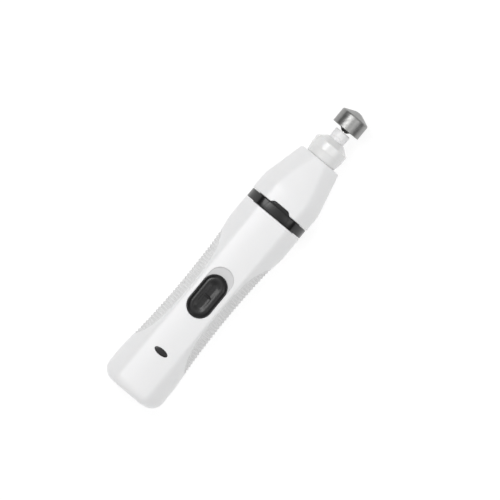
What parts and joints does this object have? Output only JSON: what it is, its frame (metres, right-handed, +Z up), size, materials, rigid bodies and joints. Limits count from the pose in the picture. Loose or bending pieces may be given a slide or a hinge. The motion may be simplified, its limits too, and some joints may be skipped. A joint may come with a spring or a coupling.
{
  "type": "pet nail grinder",
  "caption": "Cordless hand-held pet nail grinder: waisted eight-sided handle with ribbed side grips, thumb slide switch and a pull-off tapered head with a spinning steel drum.",
  "frame": {"origin": "on the surface the tool lies on, under the middle of its length and width", "axes": "+Z up out of the front face with the switch, +Y along the tool from the flat base to the grinding drum, +X to the tool's right seen from the front with the drum up"},
  "size_m": [0.034, 0.178, 0.0321],
  "materials": {
    "white_plastic": "smooth satin moulded",
    "grip_rubber": "soft-touch, finely ribbed across",
    "ring_black": "polished",
    "switch_black": "semi-gloss",
    "lens_black": "polished smoked",
    "led_clear": "water clear",
    "nose_plastic": "glossy, slightly translucent",
    "inner_plastic": "as moulded",
    "black_plastic": "as moulded",
    "black_rubber": "matt",
    "drum_steel": "satin, fine abrasive grain",
    "polished_steel": "ground and polished",
    "plated_steel": "nickel plated",
    "copper": "bare copper",
    "brass": "bare brass",
    "board_green": "solder-mask green",
    "battery_wrap": "shrink wrap",
    "lead_red": "extruded insulation",
    "lead_black": "extruded insulation",
    "ferrite": "sintered ferrite"
  },
  "bodies": {
    "handle": {"front_shell": "white_plastic", "rear_shell": "white_plastic", "left_grip": "grip_rubber", "right_grip": "grip_rubber", "trim_ring": "ring_black", "front_frame": "inner_plastic", "spigot_o_ring": "black_rubber", "indicator_lens": "lens_black", "indicator_led": "led_clear", "circuit_board": "board_green", "control_chip": "black_plastic", "board_screw_1": "plated_steel", "board_screw_2": "plated_steel", "case_screw_1": "plated_steel", "case_screw_2": "plated_steel", "slide_switch_housing": "plated_steel", "charge_socket": "plated_steel", "battery_cell": "battery_wrap", "battery_tab_1": "plated_steel", "battery_tab_2": "plated_steel", "charge_lead_red": "lead_red", "charge_lead_black": "lead_black", "battery_lead_red": "lead_red", "battery_lead_black": "lead_black", "motor_lead_red": "lead_red", "motor_lead_black": "lead_black", "motor_can": "plated_steel", "motor_end_cap": "black_plastic", "motor_magnet_1": "ferrite", "motor_magnet_2": "ferrite", "motor_brush_1": "copper", "motor_brush_2": "copper", "motor_tag_1": "brass", "motor_tag_2": "brass", "motor_damper": "black_rubber", "motor_screw_1": "plated_steel", "motor_screw_2": "plated_steel"},
    "switch": {"slide_button": "switch_black", "switch_lever": "black_plastic"},
    "rotor": {"motor_shaft": "polished_steel", "motor_armature": "copper", "motor_commutator": "copper", "drive_coupler": "black_plastic"},
    "head": {"head_shell": "white_plastic", "head_frame": "inner_plastic", "nose_collar": "nose_plastic", "dust_seal": "black_rubber", "rear_bearing": "polished_steel", "front_bearing": "polished_steel"},
    "spindle": {"spindle_shaft": "polished_steel", "retaining_clip": "plated_steel", "spindle_sleeve": "white_plastic", "drive_socket": "black_plastic", "grinding_drum": "drum_steel"}
  },
  "joints": [
    {"name": "power_slide", "type": "slide", "parent": "handle", "child": "switch", "axis": [0, 1, 0], "range_m": [0, 0.0044]},
    {"name": "motor_spin", "type": "hinge", "parent": "handle", "child": "rotor", "pos_m": [0, 0.001, 0.0155], "axis": [0, 1, 0], "continuous": true},
    {"name": "head_release", "type": "slide", "parent": "handle", "child": "head", "axis": [0, 1, 0], "range_m": [0, 0.03]},
    {"name": "spindle_spin", "type": "hinge", "parent": "head", "child": "spindle", "pos_m": [0, 0.061, 0.0155], "axis": [0, 1, 0], "continuous": true}
  ],
  "couplings": [
    {"joint": "spindle_spin", "follows": "motor_spin", "ratio": 1}
  ]
}
